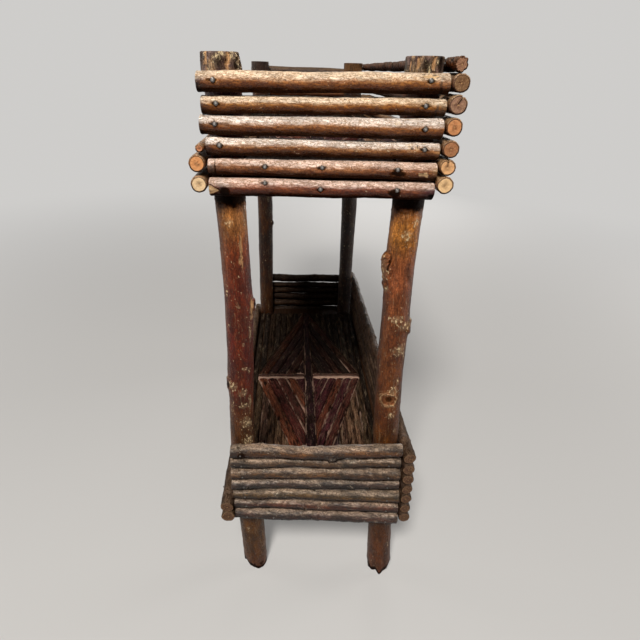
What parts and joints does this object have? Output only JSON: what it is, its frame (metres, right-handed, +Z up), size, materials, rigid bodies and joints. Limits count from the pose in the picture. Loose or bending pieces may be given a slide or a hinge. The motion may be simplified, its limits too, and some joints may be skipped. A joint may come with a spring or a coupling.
{
  "type": "rustic pole table",
  "caption": "Narrow rustic side table of bark-on hickory poles: a walled tray on top, a walled shelf below, both floored with a twig mosaic and nailed to corner posts.",
  "frame": {"origin": "on the ground under the middle of the bounding box", "axes": "+Z up; +X to the closed back wall, -X to the open front; -Y to the near end, +Y to the far end"},
  "size_m": [0.2192, 0.5526, 0.5846],
  "materials": {
    "post_bark": "varnished bark",
    "tray_stick_bark": "varnished bark",
    "shelf_twig_bark": "varnished bark",
    "board_wood": "stained",
    "mosaic_spine_bark": "varnished bark",
    "mosaic_diamond_bark": "varnished bark",
    "mosaic_field_bark": "varnished bark",
    "nail_steel": "dark oxide"
  },
  "bodies": {
    "root": {"post_near_front": "post_bark", "post_near_back": "post_bark", "post_far_front": "post_bark", "post_far_back": "post_bark", "tray_near_end_stick_1": "tray_stick_bark", "tray_near_end_stick_2": "tray_stick_bark", "tray_near_end_stick_3": "tray_stick_bark", "tray_near_end_stick_4": "tray_stick_bark", "tray_near_end_stick_5": "tray_stick_bark", "tray_near_end_stick_6": "tray_stick_bark", "tray_far_end_stick_1": "tray_stick_bark", "tray_far_end_stick_2": "tray_stick_bark", "tray_far_end_stick_3": "tray_stick_bark", "tray_far_end_stick_4": "tray_stick_bark", "tray_far_end_stick_5": "tray_stick_bark", "tray_far_end_stick_6": "tray_stick_bark", "tray_back_stick_1": "tray_stick_bark", "tray_back_stick_2": "tray_stick_bark", "tray_back_stick_3": "tray_stick_bark", "tray_back_stick_4": "tray_stick_bark", "tray_back_stick_5": "tray_stick_bark", "tray_back_stick_6": "tray_stick_bark", "tray_back_stick_7": "tray_stick_bark", "tray_front_lip_stick_1": "tray_stick_bark", "tray_front_lip_stick_2": "tray_stick_bark", "tray_front_lip_stick_3": "tray_stick_bark", "shelf_near_end_twig_1": "shelf_twig_bark", "shelf_near_end_twig_2": "shelf_twig_bark", "shelf_near_end_twig_3": "shelf_twig_bark", "shelf_near_end_twig_4": "shelf_twig_bark", "shelf_near_end_twig_5": "shelf_twig_bark", "shelf_near_end_twig_6": "shelf_twig_bark", "shelf_near_end_twig_7": "shelf_twig_bark", "shelf_far_end_twigs": "shelf_twig_bark", "shelf_back_twig_1": "shelf_twig_bark", "shelf_back_twig_2": "shelf_twig_bark", "shelf_back_twig_3": "shelf_twig_bark", "shelf_back_twig_4": "shelf_twig_bark", "shelf_back_twig_5": "shelf_twig_bark", "shelf_back_twig_6": "shelf_twig_bark", "shelf_back_twig_7": "shelf_twig_bark", "shelf_front_lip_twig_1": "shelf_twig_bark", "shelf_front_lip_twig_2": "shelf_twig_bark", "tray_board": "board_wood", "shelf_board": "board_wood", "tray_mosaic_spine": "mosaic_spine_bark", "tray_mosaic_crossbars": "mosaic_field_bark", "tray_mosaic_diamond": "mosaic_diamond_bark", "tray_mosaic_field": "mosaic_field_bark", "shelf_mosaic_spine": "mosaic_spine_bark", "shelf_mosaic_crossbars": "mosaic_field_bark", "shelf_mosaic_diamond": "mosaic_diamond_bark", "shelf_mosaic_field": "mosaic_field_bark", "tray_nails": "nail_steel", "shelf_brads": "nail_steel"}
  },
  "joints": []
}
